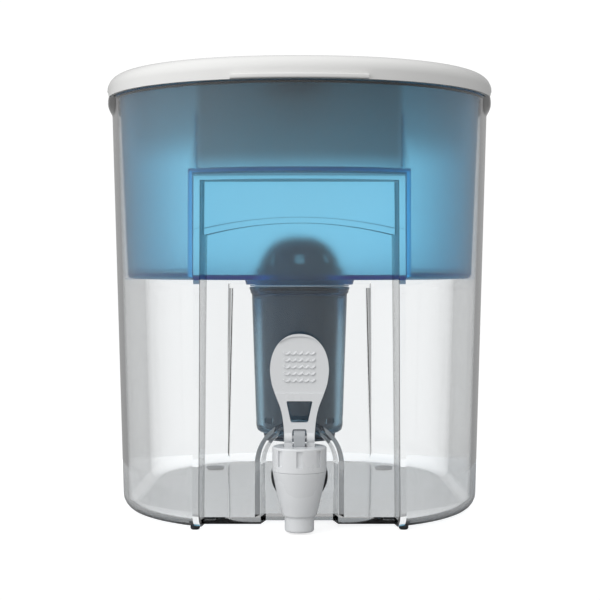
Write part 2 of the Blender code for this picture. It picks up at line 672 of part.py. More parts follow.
def lever(parts, cutters, look, metal):
    half = lever_outline()
    left = [(-x, z) for x, z in reversed(half[1:])]
    outline = half + left
    rings = [[(x, y, z - PIVOT_Z) for x, z in outline] for y in (-LEVER_THICK / 2, LEVER_THICK / 2)]
    body = add_object("lever", loft("lever", rings), parts, look)
    body.location = (0, SPIGOT_Y, PIVOT_Z)
    window = [(-7, 70.4), (7, 70.4), (4.55, 59), (-4.55, 59)]
    rings = [[(x * MM, SPIGOT_Y + y, z * MM) for x, z in window] for y in (-5 * MM, 5 * MM)]
    cut(body, "lever_window", loft("lever_window", rings), cutters)
    for side, x_sign in (("left", -1), ("right", 1)):
        inset = 0.15 * MM
        ends = [(x_sign * x, SPIGOT_Y, PIVOT_Z) for x in (LEG_IN + inset, LEG_OUT - inset)]
        join(body, "pivot_boss_" + side, cylinder("pivot_boss_" + side, 3.1 * MM, *ends, 20), cutters)
    ends = [(x * MM, SPIGOT_Y, PIVOT_Z) for x in (-12, 12)]
    cut(body, "lever_eye", cylinder("lever_eye", EYE_RADIUS, *ends, 16), cutters)

    pin = cylinder("lever_pin", PIN_RADIUS, (-7.9 * MM, 0, 0), (7.9 * MM, 0, 0), 16)
    add_object("lever_pin", pin, parts, metal).location = (0, SPIGOT_Y, PIVOT_Z)


def wall_fixing(parts, cutters, looks):
    """Washers on both sides of the alcove's wall, and the nut that clamps them."""
    inside = WALL_FRONT + WALL
    rings = (
        ("outer_washer", 15.7 * MM, WALL_FRONT - GAP - 1.4 * MM, WALL_FRONT - GAP, 32, "rubber"),
        ("inner_washer", 13.5 * MM, inside + GAP, inside + 1.9 * MM, 32, "rubber"),
        ("shank_nut", 12.6 * MM, inside + 2.2 * MM, inside + 9.2 * MM, 6, "spigot"),
    )
    for name, radius, start, end, sides, look in rings:
        disc = cylinder(name, radius, (0, start, SHANK_Z), (0, end, SHANK_Z), sides)
        piece = add_object(name, disc, parts, looks[look])
        hole = cylinder(name + "_bore", SHANK_RADIUS + GAP, (0, start - MM, SHANK_Z),
                        (0, end + MM, SHANK_Z), 28)
        cut(piece, name + "_bore", hole, cutters)


def main():
    clear_scene()
    parts = collection("countertop_water_dispenser")
    cutters = collection("cutters")
    looks = {
        "clear": plastic("clear_plastic", (0.93, 0.94, 0.95), 0.04, clear=1.0),
        "hopper": plastic("blue_translucent", (0.17, 0.50, 0.72), 0.22, clear=0.7),
        "sleeve": plastic("sleeve_blue", (0.13, 0.36, 0.50), 0.25, clear=0.5),
        "lid": plastic("white_gloss", (0.86, 0.86, 0.85), 0.25),
        "spigot": plastic("spigot_white", (0.80, 0.81, 0.82), 0.30),
        "stem": plastic("stem_grey", (0.62, 0.64, 0.66), 0.35),
        "silicone": plastic("silicone", (0.75, 0.76, 0.76), 0.55),
        "rubber": plastic("black_rubber", (0.03, 0.035, 0.04), 0.6),
        "filter": plastic("filter_blue_grey", (0.12, 0.15, 0.19), 0.4),
        "media": plastic("carbon", (0.03, 0.03, 0.03), 0.9),
        "housing": plastic("indicator_shell", (0.10, 0.12, 0.20), 0.4),
        "board": plastic("circuit_board", (0.04, 0.20, 0.10), 0.5),
        "button": plastic("button_blue", (0.16, 0.32, 0.62), 0.35),
        "lens": plastic("lens_clear", (0.85, 0.95, 0.88), 0.1, clear=0.8),
        "metal": plastic("steel", (0.72, 0.73, 0.74), 0.25, metallic=1.0),
    }
    reservoir(parts, cutters, looks["clear"])
    feet(parts, looks["rubber"])
    hopper(parts, cutters, looks["hopper"])
    rim_seal(parts, cutters, looks["rubber"])
    lid(parts, cutters, looks["lid"])
    indicator(parts, cutters, looks)
    sleeve(parts, cutters, looks["sleeve"], looks["silicone"])
    filter_cartridge(parts, cutters, looks)
    spigot_body(parts, cutters, looks["spigot"])
    spigot_bonnet(parts, cutters, looks["spigot"])
    valve(parts, cutters, looks)
    lever(parts, cutters, looks["spigot"], looks["metal"])
    wall_fixing(parts, cutters, looks)
    for obj in parts.objects:
        if obj.type == "MESH":
            obj.data.shade_smooth()
            obj.data.set_sharp_from_angle(angle=radians(35))


main()
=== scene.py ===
from math import cos, log, pi, radians, sin, tan

import bmesh
import bpy
from mathutils import Matrix, Vector


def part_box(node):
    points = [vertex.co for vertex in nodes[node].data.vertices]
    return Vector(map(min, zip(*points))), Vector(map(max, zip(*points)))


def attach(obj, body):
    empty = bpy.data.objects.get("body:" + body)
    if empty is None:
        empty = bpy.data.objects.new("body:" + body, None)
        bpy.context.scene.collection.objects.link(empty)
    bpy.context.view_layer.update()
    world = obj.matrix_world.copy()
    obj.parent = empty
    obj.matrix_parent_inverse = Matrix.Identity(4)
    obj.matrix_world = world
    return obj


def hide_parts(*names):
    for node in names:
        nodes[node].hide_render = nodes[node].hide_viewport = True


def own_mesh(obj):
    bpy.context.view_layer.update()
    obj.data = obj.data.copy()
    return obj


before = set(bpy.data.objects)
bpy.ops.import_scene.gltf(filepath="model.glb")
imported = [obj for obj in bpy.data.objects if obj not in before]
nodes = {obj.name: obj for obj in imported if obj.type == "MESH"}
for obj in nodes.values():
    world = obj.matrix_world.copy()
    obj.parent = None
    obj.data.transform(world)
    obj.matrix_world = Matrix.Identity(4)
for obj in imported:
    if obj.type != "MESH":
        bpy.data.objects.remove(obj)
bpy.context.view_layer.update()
mm = 0.001
scene = bpy.context.scene


# ------------------------------------------------------------------------------------ studio
# The dispenser stands on a small round pale table top in a light tent. The tent glows behind
# the piece and overhead. Bounced light meets a greyer tent, which draws the edges of clear plastic.
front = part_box("reservoir")[0].y
centre_y = (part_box("reservoir")[0].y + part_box("reservoir")[1].y) / 2
camera_distance = 732 * mm
camera_height = 136.6 * mm
table_radius = 0.22

camera_data = bpy.data.cameras.new("camera")
camera_data.lens = 85
camera_data.sensor_width = 36
camera_data.clip_start = 0.01
camera = bpy.data.objects.new("camera", camera_data)
camera.location = (0.3 * mm, front - camera_distance, camera_height)
camera.rotation_euler = (radians(89.03), 0, 0)
scene.collection.objects.link(camera)
scene.camera = camera
scene.view_settings.view_transform = "Standard"
scene.cycles.max_bounces = 28
scene.cycles.transmission_bounces = 28
scene.cycles.transparent_max_bounces = 24
scene.cycles.glossy_bounces = 8
scene.cycles.diffuse_bounces = 5

floor_mesh = bpy.data.meshes.new("table_top")
bm = bmesh.new()
bmesh.ops.create_circle(bm, cap_ends=True, radius=table_radius, segments=128)
bm.to_mesh(floor_mesh)
bm.free()
floor_look = bpy.data.materials.new("pale_table")
floor_look.use_nodes = True
floor_shader = floor_look.node_tree.nodes["Principled BSDF"]
floor_shader.inputs["Base Color"].default_value = (0.5, 0.5, 0.5, 1)
floor_shader.inputs["Emission Color"].default_value = (1, 1, 1, 1)
floor_shader.inputs["Roughness"].default_value = 1.0
floor_shader.inputs["Specular IOR Level"].default_value = 0.0
floor_mesh.materials.append(floor_look)
table_top = bpy.data.objects.new("table_top", floor_mesh)
scene.collection.objects.link(table_top)

world = bpy.data.worlds.new("light_tent")
scene.world = world
world.use_nodes = True
tent = world.node_tree
tent.nodes.clear()
direction = tent.nodes.new("ShaderNodeTexCoord").outputs["Generated"]


def sums(tree, operation, first, second):
    """One arithmetic node between two sockets or numbers."""
    node = tree.nodes.new("ShaderNodeMath")
    node.operation = operation
    for socket, value in zip(node.inputs, (first, second)):
        if isinstance(value, (int, float)):
            socket.default_value = value
        else:
            tree.links.new(value, socket)
    return node.outputs[0]


def seen_straight(tree):
    """One for what is seen directly or through clear plastic, zero for what only lights it."""
    ray = tree.nodes.new("ShaderNodeLightPath").outputs
    kept_by_plastic = 0.92
    straight = sums(tree, "MAXIMUM", ray["Is Camera Ray"],
                    sums(tree, "MULTIPLY", ray["Is Transmission Ray"], kept_by_plastic))
    for bounced in ("Glossy Depth", "Diffuse Depth"):
        straight = sums(tree, "MULTIPLY", straight, sums(tree, "LESS_THAN", ray[bounced], 0.5))
    return straight


tent_fill, white_behind, table_glow = 0.13, 1.04, 0.78
glow = None
for aim, tightness, strength in (
    ((0, 0, 1), 2.5, 0.95),
    ((-0.8, -0.5, 0.45), 4, 0.5),
    ((0, -1, 0.25), 3, 0.46),
    ((-1, 0, 0), 3, 0.55),
    ((1, 0, 0), 3, 0.45),
    ((0, 1, 0.1), 6, 0.3),
):
    facing = tent.nodes.new("ShaderNodeVectorMath")
    facing.operation = "DOT_PRODUCT"
    tent.links.new(direction, facing.inputs[0])
    facing.inputs[1].default_value = Vector(aim).normalized()
    lobe = sums(tent, "POWER", sums(tent, "MAXIMUM", facing.outputs["Value"], 0.0), tightness)
    lit = sums(tent, "MULTIPLY", lobe, strength)
    glow = lit if glow is None else sums(tent, "ADD", glow, lit)
glow = sums(tent, "ADD", glow, tent_fill)
straight = seen_straight(tent)
glow = sums(tent, "ADD", sums(tent, "MULTIPLY", glow, sums(tent, "SUBTRACT", 1.0, straight)),
                sums(tent, "MULTIPLY", straight, white_behind))
backdrop = tent.nodes.new("ShaderNodeBackground")
backdrop.inputs["Color"].default_value = (1, 1, 1, 1)
tent.links.new(glow, backdrop.inputs["Strength"])
tent_output = tent.nodes.new("ShaderNodeOutputWorld")
tent.links.new(backdrop.outputs[0], tent_output.inputs["Surface"])

softbox_data = bpy.data.lights.new("softbox", "AREA")
softbox_data.shape = "RECTANGLE"
softbox_data.size, softbox_data.size_y = 1.4, 1.6
softbox_data.energy = 12
softbox = bpy.data.objects.new("softbox", softbox_data)
softbox.location = (-1.15, -1.15, 0.95)
softbox.visible_glossy = False
softbox.visible_transmission = False
softbox_aim = Vector((0, 0, 0.12)) - softbox.location
softbox.rotation_euler = softbox_aim.to_track_quat("-Z", "Y").to_euler()
scene.collection.objects.link(softbox)
floor_tree = floor_look.node_tree
floor_tree.links.new(sums(floor_tree, "MULTIPLY", seen_straight(floor_tree), table_glow),
                     floor_shader.inputs["Emission Strength"])


# ---------------------------------------------------------------------------------- reservoir
# The reservoir is one injection moulding in clear plastic, drafted so that it leaves its tool
# downwards, with a recess for the glass in front and a hand channel at the back.
rim_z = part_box("reservoir")[1].z
base_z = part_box("reservoir")[0].z
grip_bulge = 2.9 * mm
half_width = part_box("reservoir")[1].x - grip_bulge
half_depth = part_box("reservoir")[1].y - centre_y
oval_end = 105 * mm
seam_z = 237.5 * mm
ledge_z = 236.4 * mm
wall = 3.2 * mm
rim_wall = 1.5 * mm
floor_thick = 3.4 * mm
draft = tan(radians(1.56))
edge_radius = 9 * mm
recess_top = 187 * mm
recess_middle = 49.6 * mm
panel_setback = 26.5 * mm
arch_setback = 36 * mm
arch_spring_z = 158.6 * mm
arch_rise = 6.5 * mm
alcove_setback = 47.6 * mm
alcove_radius = 18.5 * mm
alcove_centre_z = 34 * mm
alcove_flare = 2.6 * mm
channel_depth = 19 * mm
channel_corner = 5.5 * mm
cutter_low = -5 * mm
filter_y = front + 79.5 * mm
spigot_y = front + 18 * mm


def workings(look):
    """The material's node tree, its shader and the object's own coordinates."""
    tree = look.node_tree
    place = tree.nodes.new("ShaderNodeTexCoord").outputs["Object"]
    return tree, tree.nodes["Principled BSDF"], place


def moulded(name, colour, rough, spread=0.05, grain=900, bump=0.02, tint=0.03, clear=0.0,
            metal=0.0, ior=1.5, coat=0.0, lets_light=False, stretch=(1, 1, 1)):
    """Plastic, rubber or metal whose gloss, shade and skin vary a little, as made."""
    look = bpy.data.materials.new(name)
    look.use_nodes = True
    tree, shader, place = workings(look)
    link = tree.links.new
    shader.inputs["Metallic"].default_value = metal
    shader.inputs["Transmission Weight"].default_value = clear
    shader.inputs["IOR"].default_value = ior
    shader.inputs["Coat Weight"].default_value = coat
    shader.inputs["Coat Roughness"].default_value = 0.08
    aim = tree.nodes.new("ShaderNodeMapping")
    aim.inputs["Scale"].default_value = stretch
    link(place, aim.inputs["Vector"])

    clouds = tree.nodes.new("ShaderNodeTexNoise")
    clouds.inputs["Scale"].default_value = 38
    clouds.inputs["Detail"].default_value = 6
    link(aim.outputs["Vector"], clouds.inputs["Vector"])
    shade = tree.nodes.new("ShaderNodeMix")
    shade.data_type = "RGBA"
    shade.inputs["A"].default_value = (*(c * (1 - tint) for c in colour), 1)
    shade.inputs["B"].default_value = (*(min(1, c * (1 + tint)) for c in colour), 1)
    link(clouds.outputs["Fac"], shade.inputs["Factor"])
    gloss = tree.nodes.new("ShaderNodeMapRange")
    gloss.inputs["From Min"].default_value = 0.3
    gloss.inputs["From Max"].default_value = 0.7
    gloss.inputs["To Min"].default_value = max(0.0, rough - spread)
    gloss.inputs["To Max"].default_value = rough + spread
    link(clouds.outputs["Fac"], gloss.inputs["Value"])
    link(shade.outputs["Result"], shader.inputs["Base Color"])
    link(gloss.outputs["Result"], shader.inputs["Roughness"])

    skin = tree.nodes.new("ShaderNodeTexNoise")
    skin.inputs["Scale"].default_value = grain
    skin.inputs["Detail"].default_value = 3
    link(aim.outputs["Vector"], skin.inputs["Vector"])
    relief = tree.nodes.new("ShaderNodeBump")
    relief.inputs["Strength"].default_value = bump
    relief.inputs["Distance"].default_value = 0.3 * mm
    link(skin.outputs["Fac"], relief.inputs["Height"])
    link(relief.outputs["Normal"], shader.inputs["Normal"])

    if lets_light:
        out = tree.nodes["Material Output"]
        see = tree.nodes.new("ShaderNodeBsdfTransparent")
        see.inputs["Color"].default_value = (*(c ** 0.5 for c in colour), 1)
        choose = tree.nodes.new("ShaderNodeMixShader")
        ray = tree.nodes.new("ShaderNodeLightPath")
        link(ray.outputs["Is Shadow Ray"], choose.inputs["Fac"])
        link(shader.outputs[0], choose.inputs[1])
        link(see.outputs[0], choose.inputs[2])
        link(choose.outputs[0], out.inputs["Surface"])
    return look


def oval(inset, z, bulge=0.0, per_quarter=26):
    """The rim's plan, inset evenly; bulge pushes out only the straight sides."""
    points = []
    for quarter in range(4):
        for step in range(quarter % 2, per_quarter + 1):
            turn = pi / 2 * (quarter + step / per_quarter)
            c, s = cos(turn), sin(turn)
            x = (half_width - inset) * abs(c) ** (2 / 2.15) * (1 if c > 0 else -1)
            y = (oval_end - inset) * abs(s) ** (2 / 2.15) * (1 if s > 0 else -1)
            y += (half_depth - oval_end) * (1 if quarter < 2 else -1)
            reach = max(0.0, min(1.0, (74 * mm - abs(y)) / (28 * mm)))
            x += bulge * reach * reach * (3 - 2 * reach) * (1 if x > 0 else -1)
            points.append((x, centre_y + y, z))
    return points


def loft(name, rings):
    """A closed mesh through rings of points, capped at both ends."""
    shape = bmesh.new()
    loops = [[shape.verts.new(p) for p in ring] for ring in rings]
    count = len(loops[0])
    for under, over in zip(loops, loops[1:]):
        for i in range(count):
            j = (i + 1) % count
            shape.faces.new((under[i], under[j], over[j], over[i]))
    shape.faces.new(list(reversed(loops[0])))
    shape.faces.new(loops[-1])
    bmesh.ops.recalc_face_normals(shape, faces=shape.faces)
    mesh = bpy.data.meshes.new(name)
    shape.to_mesh(mesh)
    shape.free()
    return mesh


def solid(name, mesh):
    """A mesh set in the scene as an object of the same name."""
    obj = bpy.data.objects.new(name, mesh)
    scene.collection.objects.link(obj)
    return obj


def settle(obj):
    """Applies an object's modifiers to its mesh."""
    done = bpy.data.meshes.new_from_object(
        obj.evaluated_get(bpy.context.evaluated_depsgraph_get()))
    obj.modifiers.clear()
    obj.data = done
    return obj


def carve(obj, tools, operation="DIFFERENCE", own=False):
    """Cuts, joins or intersects a body with each tool in turn, and removes the tools."""
    for tool in tools:
        step = obj.modifiers.new(tool.name, "BOOLEAN")
        step.operation = operation
        step.solver = "EXACT"
        step.use_self = own
        step.object = tool
    settle(obj)
    for tool in tools:
        bpy.data.objects.remove(tool)
    return obj


def soften(obj, width, segments=2, angle=40):
    """Rounds sharp edges and shades the piece smooth between them."""
    weld = obj.modifiers.new("weld", "WELD")
    weld.merge_threshold = 0.004 * mm
    edge = obj.modifiers.new("edge", "BEVEL")
    edge.width = width
    edge.segments = segments
    edge.limit_method = "ANGLE"
    edge.angle_limit = radians(angle)
    edge.use_clamp_overlap = True
    edge.miter_outer = "MITER_ARC"
    settle(obj)
    smooth(obj, 55)
    even = obj.modifiers.new("flat_faces_stay_flat", "WEIGHTED_NORMAL")
    even.keep_sharp = True
    even.weight = 50
    settle(obj)
    return obj


def smooth(obj, angle):
    """Shades a piece smooth, but for edges sharper than the angle."""
    obj.data.shade_smooth()
    obj.data.set_sharp_from_angle(angle=radians(angle))
    return obj


def finish_piece(obj, look, body, slot, *stands_for):
    """Gives a piece its finish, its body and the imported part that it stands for."""
    obj.data.materials.clear()
    obj.data.materials.append(look)
    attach(obj, body)
    if stands_for:
        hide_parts(*stands_for)
    return obj


def recess_half(set_back, z, grow):
    """Half the recess's width, which narrows inwards and spreads downwards for the draft."""
    return (recess_middle + (arch_setback - set_back) * tan(radians(6.5))
            + (recess_top - z) * 0.0112 + grow)


def front_recess(grow=0.0):
    """The glass's recess: a square-topped step, then an arched panel further in."""
    arch_low, steps = arch_spring_z + grow, 24
    arch = [(1 - 2 * i / steps) for i in range(steps + 1)]
    arch = [(share, arch_low + arch_rise * (1 - share * share)) for share in arch]
    top = recess_top + grow
    square = [(1 - 2 * i / (steps - 2), top) for i in range(steps - 1)]
    square = [(1, arch_low), *square, (-1, arch_low)]
    feet = [(-1, cutter_low), (1, cutter_low)]
    rings = []
    for outline, depth in ((square, -20 * mm), (square, panel_setback + grow),
                           (arch, panel_setback + grow), (arch, arch_setback + grow)):
        rings.append([(share * recess_half(depth - grow, z, grow), front + depth, z)
                      for share, z in feet + outline])
    mesh = loft("front_recess", rings)
    shape = bmesh.new()
    shape.from_mesh(mesh)
    bmesh.ops.remove_doubles(shape, verts=shape.verts, dist=0.001 * mm)
    bmesh.ops.dissolve_degenerate(shape, edges=shape.edges, dist=0.001 * mm)
    bmesh.ops.recalc_face_normals(shape, faces=shape.faces)
    shape.to_mesh(mesh)
    shape.free()
    return solid("front_recess", mesh)


def alcove(grow=0.0):
    """The arch-topped pocket behind the spigot, narrower at its back."""
    rings = []
    slope = alcove_flare / (alcove_setback - arch_setback)
    for depth in (arch_setback - 6 * mm, alcove_setback + grow):
        r = alcove_radius + grow + (alcove_setback + grow - depth) * slope
        outline = [(-r, cutter_low), (r, cutter_low)]
        outline += [(r * cos(pi * i / 36), alcove_centre_z + r * sin(pi * i / 36))
                    for i in range(37)]
        rings.append([(x, front + depth, z) for x, z in outline])
    return solid("alcove", loft("alcove", rings))


def rounded(points, radius, closed=True, steps=3):
    """The outline with each corner drawn as a small curve."""
    result = []
    count = len(points)
    for i, point in enumerate(points):
        corner = Vector(point)
        if not closed and i in (0, count - 1):
            result.append(corner)
            continue
        before, after = Vector(points[i - 1]) - corner, Vector(points[(i + 1) % count]) - corner
        start = corner + before.normalized() * min(radius, before.length * 0.45)
        end = corner + after.normalized() * min(radius, after.length * 0.45)
        for k in range(steps + 1):
            t = k / steps
            result.append(start * (1 - t) ** 2 + corner * 2 * t * (1 - t) + end * t * t)
    return result


def rear_channel(grow=0.0):
    """The hand channel in the back, with rounded corners and sides that spread downwards."""
    rings = []
    back = centre_y + half_depth
    past = back + 20 * mm
    for z, half in ((cutter_low, 51.1 * mm + grow), (128 * mm + grow, 48 * mm + grow)):
        deep = back - channel_depth - grow
        plan = rounded([(-half, past), (-half, deep), (half, deep), (half, past)],
                       channel_corner + grow, steps=6)
        rings.append([(p.x, p.y, z) for p in plan])
    return solid("rear_channel", loft("rear_channel", rings))


def tube(name, radius, start, end, steps=48):
    """A round bar between two points."""
    start, end = Vector(start), Vector(end)
    shape = bmesh.new()
    bmesh.ops.create_cone(shape, cap_ends=True, segments=steps, radius1=radius,
                          radius2=radius, depth=(end - start).length)
    turn = (end - start).to_track_quat("Z", "Y").to_matrix().to_4x4()
    middle = Matrix.Translation((start + end) / 2)
    bmesh.ops.transform(shape, matrix=middle @ turn, verts=shape.verts)
    mesh = bpy.data.meshes.new(name)
    shape.to_mesh(mesh)
    shape.free()
    return solid(name, mesh)


rings = []
for i in range(7):
    turn = pi / 2 * i / 6
    z = base_z + edge_radius * (1 - cos(turn))
    rings.append(oval((seam_z - z) * draft + edge_radius * (1 - sin(turn)), z))
for z, swell in ((229, 0), (230.5, 0.22), (232, 0.5), (233.5, 0.75), (235, 0.92),
                 (237, 1.0), (239, 0.97), (240.6, 0.88)):
    rings.append(oval(max(0, (seam_z - z * mm) * draft), z * mm, grip_bulge * swell))
rings.append(oval(0.1 * mm, rim_z - 0.3 * mm, grip_bulge * 0.78))
rings.append(oval(0.5 * mm, rim_z, grip_bulge * 0.75))
clear_body = solid("clear_reservoir", loft("clear_reservoir", rings))

inner_radius = edge_radius - wall
room_floor = base_z + floor_thick
rings = []
for i in range(5):
    turn = pi / 2 * i / 4
    z = room_floor + inner_radius * (1 - cos(turn))
    rings.append(oval((seam_z - z) * draft + wall + inner_radius * (1 - sin(turn)), z))
rings.append(oval((seam_z - ledge_z) * draft + wall, ledge_z))
rings.append(oval(rim_wall, ledge_z))
rings.append(oval(rim_wall, rim_z - 0.4 * mm))
rings.append(oval(rim_wall - 0.4 * mm, rim_z))
rings.append(oval(rim_wall - 0.4 * mm, rim_z + 5 * mm))
room = solid("reservoir_room", loft("reservoir_room", rings))
carve(room, [front_recess(wall), alcove(wall), rear_channel(wall)])
carve(clear_body, [front_recess(), alcove(), rear_channel()])
carve(clear_body, [room])
shank_z = 27 * mm
wall_front = front + alcove_setback
holes = [tube("spigot_hole", 8.1 * mm, (0, wall_front - 3 * mm, shank_z),
              (0, wall_front + 8 * mm, shank_z))]
for foot in ("front_left", "front_right", "rear_left", "rear_right"):
    foot_low, foot_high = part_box("foot_" + foot)
    middle = (foot_low + foot_high) / 2
    radius = (foot_high.x - foot_low.x) / 2 + 0.3 * mm
    holes.append(tube("foot_pocket", radius, (middle.x, middle.y, -mm),
                      (middle.x, middle.y, base_z + 1.2 * mm), 32))
carve(clear_body, holes)
soften(clear_body, 0.7 * mm, segments=3)
clear_plastic = moulded("clear_plastic", (0.965, 0.975, 0.98), 0.012, spread=0.01, grain=14,
                        bump=0.04, tint=0.008, clear=1.0, ior=1.47, lets_light=True)
finish_piece(clear_body, clear_plastic, "base", "clear_plastic", "reservoir")


# --------------------------------------------------------------------------------------- feet
# Four soft rubber buttons, pressed into round pockets under the reservoir: small ones below
# the two front pillars and larger ones at the rear corners.
def lathe(name, profile, place=(0, 0, 0), radius=0.3, steps=72, closed=True, facing=None):
    """A turned piece from (radius, height) points in mm; an open profile ends on the axis."""
    points = [p * mm for p in rounded([Vector(p) for p in profile], radius, closed)]
    shape = bmesh.new()
    loops = []
    for p in points:
        if p.x < 1e-7:
            loops.append([shape.verts.new((0, 0, p.y))])
        else:
            turns = [2 * pi * i / steps for i in range(steps)]
            loops.append([shape.verts.new((p.x * cos(t), p.x * sin(t), p.y)) for t in turns])
    pairs = list(zip(loops, loops[1:]))
    if closed:
        pairs.append((loops[-1], loops[0]))
    for one, two in pairs:
        for i in range(steps):
            j = (i + 1) % steps
            corners = [one[i % len(one)], one[j % len(one)], two[j % len(two)], two[i % len(two)]]
            corners = list(dict.fromkeys(corners))
            if len(corners) > 2:
                shape.faces.new(corners)
    bmesh.ops.recalc_face_normals(shape, faces=shape.faces)
    turn = facing or Matrix.Identity(4)
    bmesh.ops.transform(shape, matrix=Matrix.Translation(place) @ turn, verts=shape.verts)
    mesh = bpy.data.meshes.new(name)
    shape.to_mesh(mesh)
    shape.free()
    return smooth(solid(name, mesh), 40)


rubber = moulded("black_rubber", (0.022, 0.024, 0.027), 0.62, spread=0.12, grain=1600,
                 bump=0.25, tint=0.15)
for foot in ("front_left", "front_right", "rear_left", "rear_right"):
    foot_low, foot_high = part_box("foot_" + foot)
    r, top = (foot_high.x - foot_low.x) / 2 / mm, foot_high.z / mm
    middle = (foot_low + foot_high) / 2
    profile = [(0, top), (r, top), (r, 0.9), (r - 0.5, 0.12), (r * 0.55, 0), (r * 0.45, 0.35),
               (0, 0.35)]
    pad = lathe("rubber_foot_" + foot, profile, (middle.x, middle.y, 0), 0.25, 48, closed=False)
    finish_piece(pad, rubber, "base", "rubber", "foot_" + foot)


# ------------------------------------------------------------------------- spigot wall fixing
# Two rubber washers squeeze the alcove's wall, drawn up by a plastic nut that runs on the
# spigot's threaded shank inside the reservoir.
along_y = Matrix.Rotation(-pi / 2, 4, "X")
shank_place = (0, 0, shank_z)
inside = wall_front + wall
seat = (wall_front - 0.3 * mm) / mm
washer = lathe("outer_wall_washer", [
    (15.6, seat), (15.6, seat - 1.2), (15.2, seat - 1.4), (8.4, seat - 1.4), (8.0, seat)],
    shank_place, 0.3, 72, facing=along_y)
finish_piece(washer, rubber, "base", "rubber", "outer_washer")
seat = (inside + 0.3 * mm) / mm
washer = lathe("inner_wall_washer", [
    (13.4, seat), (13.4, seat + 1.6), (8.0, seat + 1.6), (8.0, seat)],
    shank_place, 0.35, 72, facing=along_y)
finish_piece(washer, rubber, "base", "rubber", "inner_washer")

spigot_white = moulded("spigot_white", (0.76, 0.775, 0.79), 0.30, spread=0.06, grain=700,
                       bump=0.05, tint=0.015)
nut_low, nut_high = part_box("shank_nut")
nut = tube("clamp_nut", 12.4 * mm, (0, nut_low.y, shank_z), (0, nut_high.y, shank_z), 6)
nut_face, nut_back = nut_low.y / mm - 1, nut_high.y / mm
ring = lathe("nut_chamfer", [
    (12.3, nut_back + 0.1), (12.9, nut_back - 1.1), (12.9, nut_face), (7.9, nut_face),
    (7.9, nut_back + 0.1)], shank_place, 0.05, 60, facing=along_y)
carve(nut, [ring], "INTERSECT")
soften(nut, 0.35 * mm)
finish_piece(nut, spigot_white, "base", "spigot_plastic", "shank_nut")


# -------------------------------------------------------------------------------- spigot body
# Barrel and spout are one moulding in white acetal, with a flange and a threaded shank that
# passes through the wall. The valve seat is the narrow neck above the spout.
barrel = lathe("spigot_barrel", [
    (14.3, 33.4), (13.9, 31), (12.7, 24.9), (11.3, 18.5), (9.7, 12.2), (9.1, 9.9), (7.95, 9.3),
    (7.8, 8.4), (7.8, 2), (7.2, 1.2), (5.9, 1.2), (5.6, 2), (5.2, 9),
    (4.6, 10.4), (4.6, 12), (6.8, 15), (9, 19.5), (10.4, 24.9), (11.2, 30), (11.2, 33.4)],
    (0, spigot_y, 0), 0.5, 96)
flange = (wall_front - 2 * mm) / mm
shank_end = front / mm + 62
shank = lathe("inlet_shank", [
    (0, shank_end), (6.9, shank_end), (7.4, shank_end - 0.6), (7.4, flange), (13.2, flange),
    (13.2, flange - 2.2), (6.3, flange - 3.6), (6.3, spigot_y / mm + 11.5),
    (0, spigot_y / mm + 11.5)],
    shank_place, 0.35, 64, closed=False, facing=along_y)
carve(barrel, [shank], "UNION")
carve(barrel, [tube("inlet_bore", 4.8 * mm, (0, spigot_y + 7 * mm, shank_z),
                    (0, front + 64 * mm, shank_z), 32)])
smooth(barrel, 38)
even = barrel.modifiers.new("flat_faces_stay_flat", "WEIGHTED_NORMAL")
even.keep_sharp = True
settle(barrel)

thread_turns, thread_steps, thread_pitch = 6.0, 40, 1.8 * mm
shape = bmesh.new()
rows = []
thread_start = inside + 2.4 * mm
for i in range(int(thread_turns * thread_steps) + 1):
    turn = 2 * pi * i / thread_steps
    y = thread_start + thread_pitch * i / thread_steps
    fade = min(1, i / 12, (thread_turns * thread_steps - i) / 12)
    row = []
    for lift, shift in ((-0.3, -0.55), (0.42 * fade, -0.12), (0.42 * fade, 0.12), (-0.3, 0.55)):
        r = 7.4 * mm + lift * mm
        row.append(shape.verts.new((r * cos(turn), y + shift * mm, shank_z + r * sin(turn))))
    rows.append(row)
for one, two in zip(rows, rows[1:]):
    for k in range(4):
        shape.faces.new((one[k], one[(k + 1) % 4], two[(k + 1) % 4], two[k]))
shape.faces.new(rows[0])
shape.faces.new(list(reversed(rows[-1])))
bmesh.ops.recalc_face_normals(shape, faces=shape.faces)
thread_mesh = bpy.data.meshes.new("shank_thread")
shape.to_mesh(thread_mesh)
shape.free()
thread = solid("shank_thread", thread_mesh)
thread.data.shade_smooth()
finish_piece(thread, spigot_white, "base", "spigot_plastic")
finish_piece(barrel, spigot_white, "base", "spigot_plastic", "spigot_body")


# ------------------------------------------------------------------------------ spigot bonnet
# The bonnet is the fluted cap that screws on the barrel and holds the spring down. A pocket
# in its top lets the lever's feet rock, and a slot lets the stem's head through.
def block(name, low, high):
    """A plain box between two corners."""
    shape = bmesh.new()
    bmesh.ops.create_cube(shape, size=1)
    low, high = Vector(low), Vector(high)
    bmesh.ops.scale(shape, vec=high - low, verts=shape.verts)
    bmesh.ops.translate(shape, vec=(high + low) / 2, verts=shape.verts)
    mesh = bpy.data.meshes.new(name)
    shape.to_mesh(mesh)
    shape.free()
    return solid(name, mesh)


def round_about(count, first, make):
    """Makes a tool at each of a number of equal turns round the vertical."""
    return [make(first + 2 * pi * i / count) for i in range(count)]


def turned_block(size, radius, centre, turn):
    """A cutter box set at a turn round a vertical axis."""
    tool = block("cutter", -Vector(size) / 2, Vector(size) / 2)
    out = Vector((cos(turn), sin(turn), 0)) * radius
    tool.data.transform(Matrix.Translation(Vector(centre) + out) @ Matrix.Rotation(turn, 4, "Z"))
    return tool


